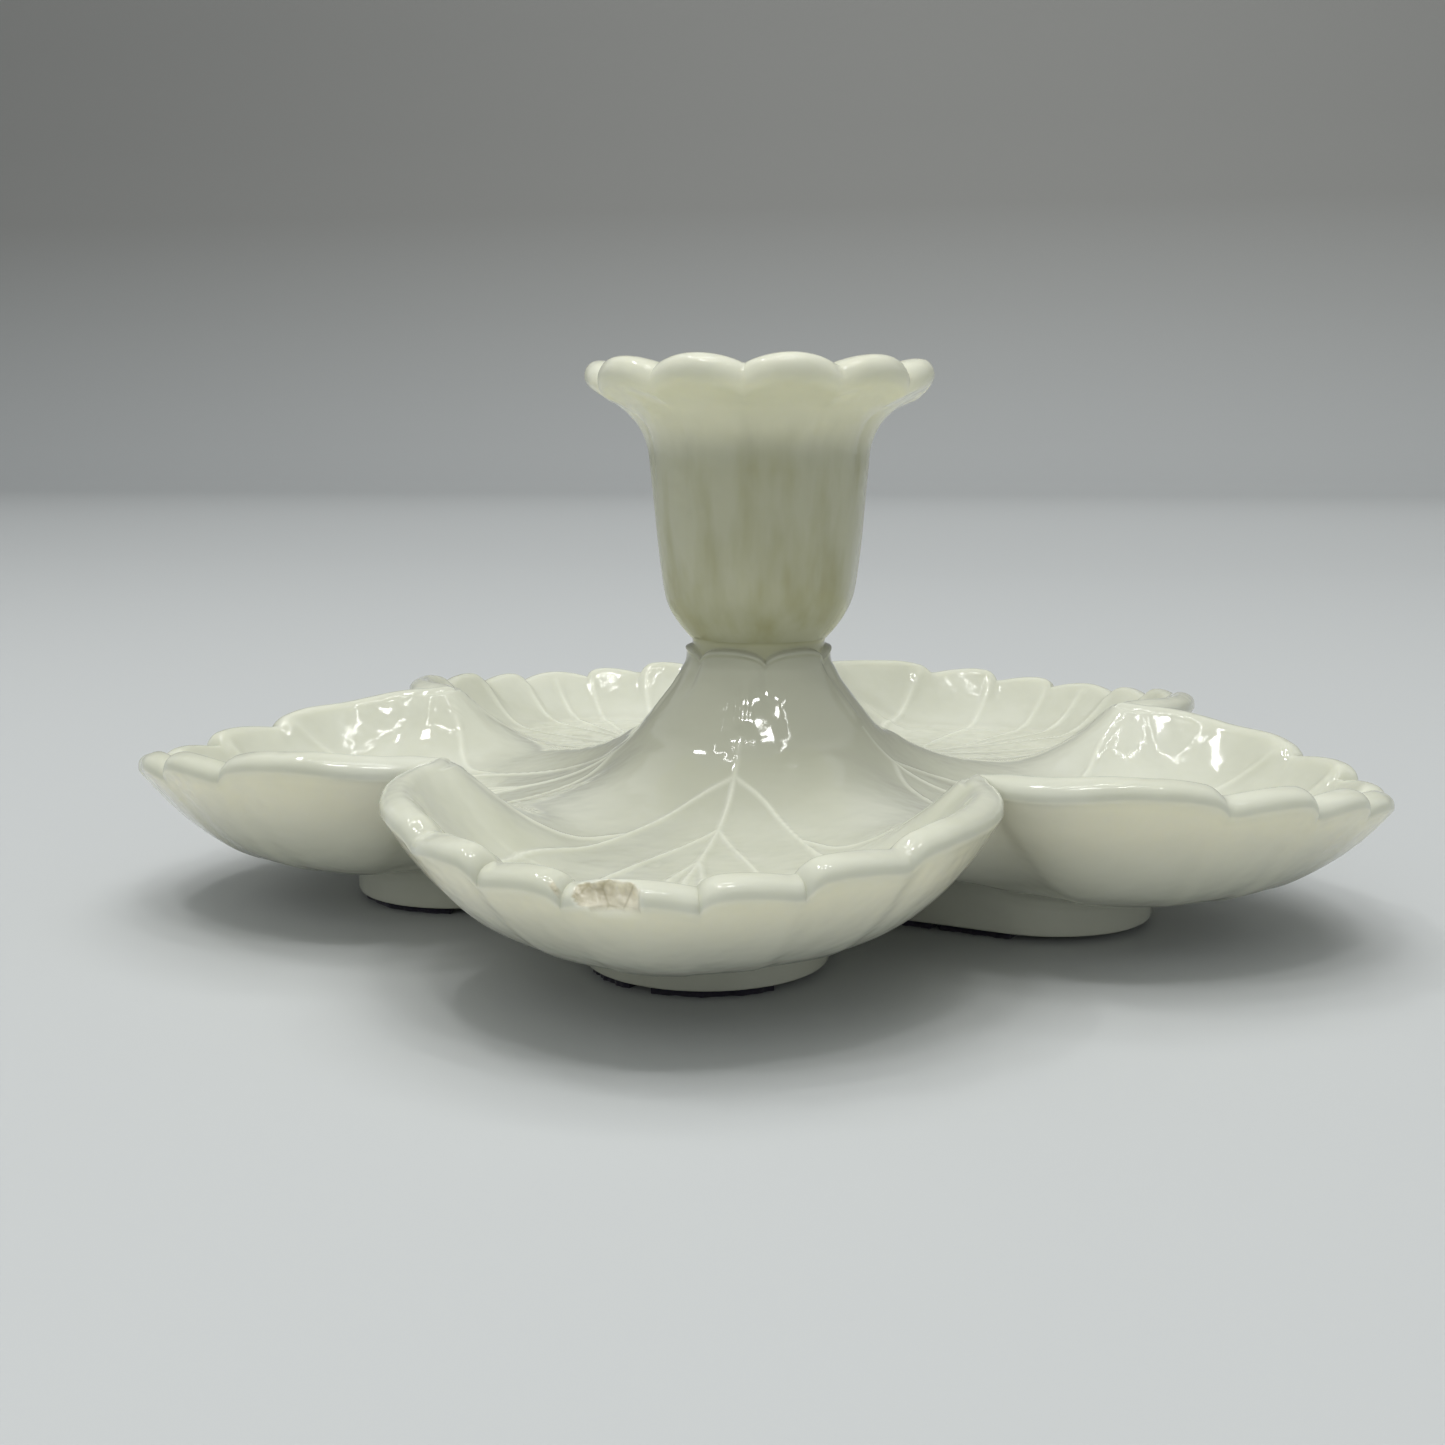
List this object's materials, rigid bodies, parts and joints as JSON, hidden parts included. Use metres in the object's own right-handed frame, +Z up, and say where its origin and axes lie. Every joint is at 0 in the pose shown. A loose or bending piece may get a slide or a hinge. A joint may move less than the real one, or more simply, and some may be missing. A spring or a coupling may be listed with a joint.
{
  "type": "glass candlestick",
  "caption": "Low candlestick in pressed opal glass: a petal-rimmed candle cup on a short stem over a flower of cupped, veined leaves, on a lobed foot ring with felt strips.",
  "frame": {"origin": "on the candle's axis, at the table plane under the felt strips", "axes": "+Z up along the candle's axis; the front leaf's midrib lies along -Y"},
  "size_m": [0.1768, 0.1725, 0.0791],
  "materials": {
    "opal_glass": "polished, opaque ivory white",
    "felt": "thin napped felt"
  },
  "bodies": {
    "root": {"candle_cup": "opal_glass", "sepal_collar": "opal_glass", "stem": "opal_glass", "leaf_front": "opal_glass", "leaf_right": "opal_glass", "leaf_back_right": "opal_glass", "leaf_back_left": "opal_glass", "leaf_left": "opal_glass", "foot_ring": "opal_glass", "felt_front_left": "felt", "felt_front_right": "felt", "felt_right_inner": "felt", "felt_right_outer": "felt", "felt_back_right": "felt", "felt_back_left": "felt", "felt_left": "felt"}
  },
  "joints": []
}
